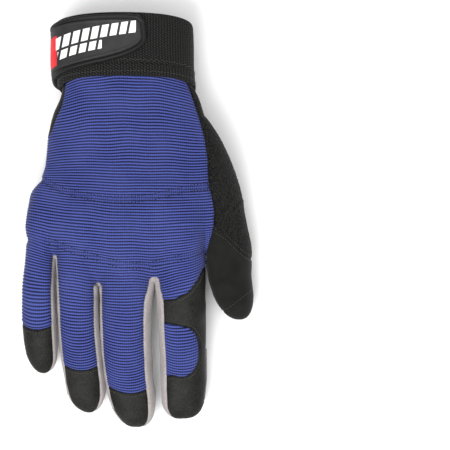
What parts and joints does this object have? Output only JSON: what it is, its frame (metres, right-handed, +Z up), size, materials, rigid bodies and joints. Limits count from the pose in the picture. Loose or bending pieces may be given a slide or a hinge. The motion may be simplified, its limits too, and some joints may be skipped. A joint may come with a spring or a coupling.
{
  "type": "leather palm work glove",
  "caption": "Right-hand work glove, palm down: ribbed knit back, leather palm with padded wear patches, soft side strips, elastic cuff and a wrap-around closing strap.",
  "frame": {"origin": "centre of the bounding box, on the floor that the glove rests on", "axes": "+Z up, away from the back of the hand; +Y along the hand towards the cuff; +X towards the thumb"},
  "size_m": [0.1414, 0.25, 0.0498],
  "materials": {
    "knit": "ribbed stretch knit",
    "leather": "fine grain, matt",
    "side_suede": "suede",
    "patch_suede": "suede",
    "terry": "terry loops",
    "webbing": "ribbed elastic",
    "strap_rubber": "moulded, matt",
    "label": "woven, plain"
  },
  "bodies": {
    "root": {"back_panel": "knit", "index_back_patch": "knit", "index_back_leather": "leather", "fingertip_little": "leather", "fingertip_ring": "leather", "fingertip_middle": "leather", "fourchette_little_ring": "side_suede", "fourchette_ring_middle": "side_suede", "fourchette_middle_index": "side_suede", "palm_panel": "leather", "thumb_front": "leather", "thumb_back": "terry", "palm_patch_crescent": "patch_suede", "palm_patch_knuckle": "patch_suede", "tip_pad_little": "patch_suede", "tip_pad_ring": "patch_suede", "tip_pad_middle": "patch_suede", "tip_pad_index": "patch_suede", "cuff_hem": "webbing", "cuff_band": "webbing", "closure_strap": "strap_rubber", "size_label": "label", "name_label": "label"}
  },
  "joints": []
}
